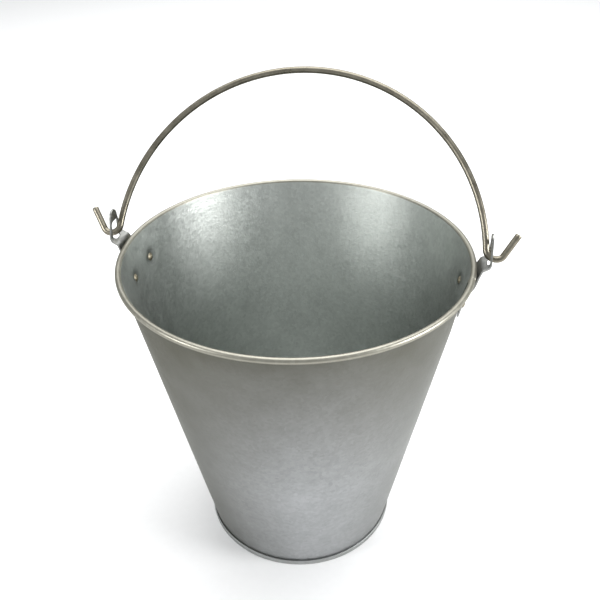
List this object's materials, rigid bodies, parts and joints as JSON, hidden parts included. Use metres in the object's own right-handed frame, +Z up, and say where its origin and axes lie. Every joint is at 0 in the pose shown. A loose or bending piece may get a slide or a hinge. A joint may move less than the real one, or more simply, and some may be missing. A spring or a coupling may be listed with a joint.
{
  "type": "florist bucket",
  "caption": "Tapered galvanised sheet bucket with a wired rim, folded foot seam, riveted ears and a hooked wire bail handle that swings over the mouth.",
  "frame": {"origin": "centre of the foot ring, on the surface that the bucket stands on", "axes": "+Z up; +X along the bail's pivot axis towards the right ear; +Y towards the side that the bail leans to at rest"},
  "size_m": [0.3654, 0.3, 0.4233],
  "materials": {
    "galvanised_sheet": "satin zinc with a fine spangle",
    "bottom_sheet": "satin zinc with a fine spangle",
    "rim_ring": "drawn steel wire",
    "ear_plate": "zinc plated stamping",
    "rivet": "yellow passivated head",
    "bail_wire": "drawn galvanised wire"
  },
  "bodies": {
    "bucket": {"body_wall": "galvanised_sheet", "rim_wire": "rim_ring", "bottom_panel": "bottom_sheet", "right_ear": "ear_plate", "left_ear": "ear_plate", "right_front_rivet": "rivet", "right_rear_rivet": "rivet", "left_front_rivet": "rivet", "left_rear_rivet": "rivet"},
    "bail": {"bail": "bail_wire"}
  },
  "joints": [
    {"name": "bail_swing", "type": "hinge", "parent": "bucket", "child": "bail", "pos_m": [0, 0, 0.2989], "axis": [1, 0, 0], "range_deg": [-54.9, 126.1]}
  ]
}
